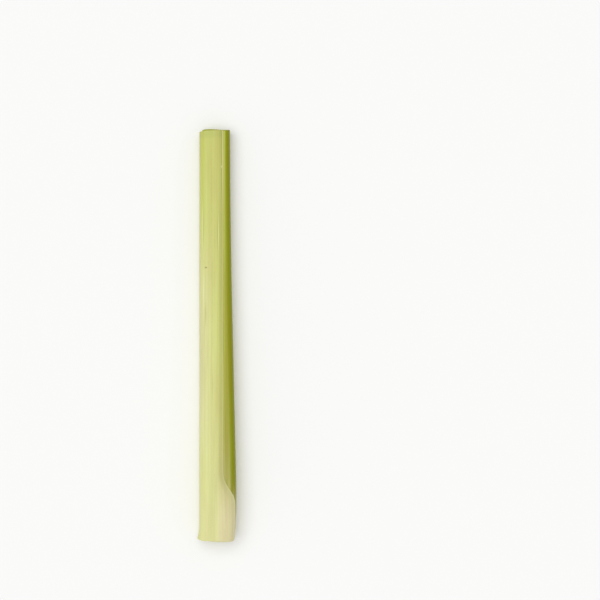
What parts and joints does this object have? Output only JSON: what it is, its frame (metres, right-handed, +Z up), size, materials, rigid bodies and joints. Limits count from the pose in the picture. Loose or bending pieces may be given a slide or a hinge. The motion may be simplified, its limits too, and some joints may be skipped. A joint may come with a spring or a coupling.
{
  "type": "lemongrass stalk",
  "caption": "Trimmed lemongrass stalk lying on its side: leaf sheaths rolled tightly round one another, pale and swollen at the root end, greener and slimmer at the other.",
  "frame": {"origin": "on the surface that the stalk lies on, under the middle of its box", "axes": "+Y along the stalk towards its green end, +Z up, +X to the right seen from above with the green end away"},
  "size_m": [0.0126, 0.13, 0.0096],
  "materials": {
    "outer_sheath": "fresh leaf sheath, satin, pale yellow-green",
    "second_sheath": "fresh leaf sheath, satin, olive green",
    "inner_sheath": "moist inner leaf sheath, pale green",
    "heart_leaf": "moist rolled young leaf, cream green"
  },
  "bodies": {
    "root": {"outer_sheath": "outer_sheath", "second_sheath": "second_sheath", "third_sheath": "inner_sheath", "fourth_sheath": "inner_sheath", "heart_leaf": "heart_leaf"}
  },
  "joints": []
}
